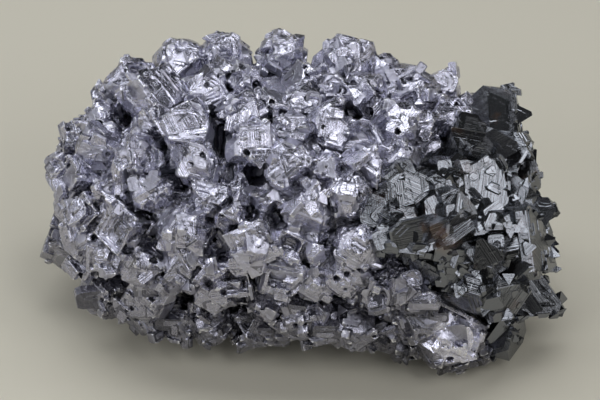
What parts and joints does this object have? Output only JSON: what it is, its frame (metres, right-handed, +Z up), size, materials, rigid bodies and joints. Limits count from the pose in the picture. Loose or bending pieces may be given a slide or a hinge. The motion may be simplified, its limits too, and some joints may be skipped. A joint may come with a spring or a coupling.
{
  "type": "mineral specimen",
  "caption": "Hand-size cluster of intergrown galena crystals with black sphalerite crystals on one end, resting on a flat broken foot.",
  "frame": {"origin": "middle of the bounding box's base, on the table the specimen rests on", "axes": "+X along the specimen's length toward the black crystals, +Z up from the resting face, -Y toward the display side"},
  "size_m": [0.1302, 0.085, 0.0701],
  "materials": {
    "galena": "bright metallic lead-grey crystal faces, satin on the larger ones",
    "sphalerite": "black, resinous, glossy crystal faces with brown traces"
  },
  "bodies": {
    "root": {"galena": "galena", "sphalerite": "sphalerite"}
  },
  "joints": []
}
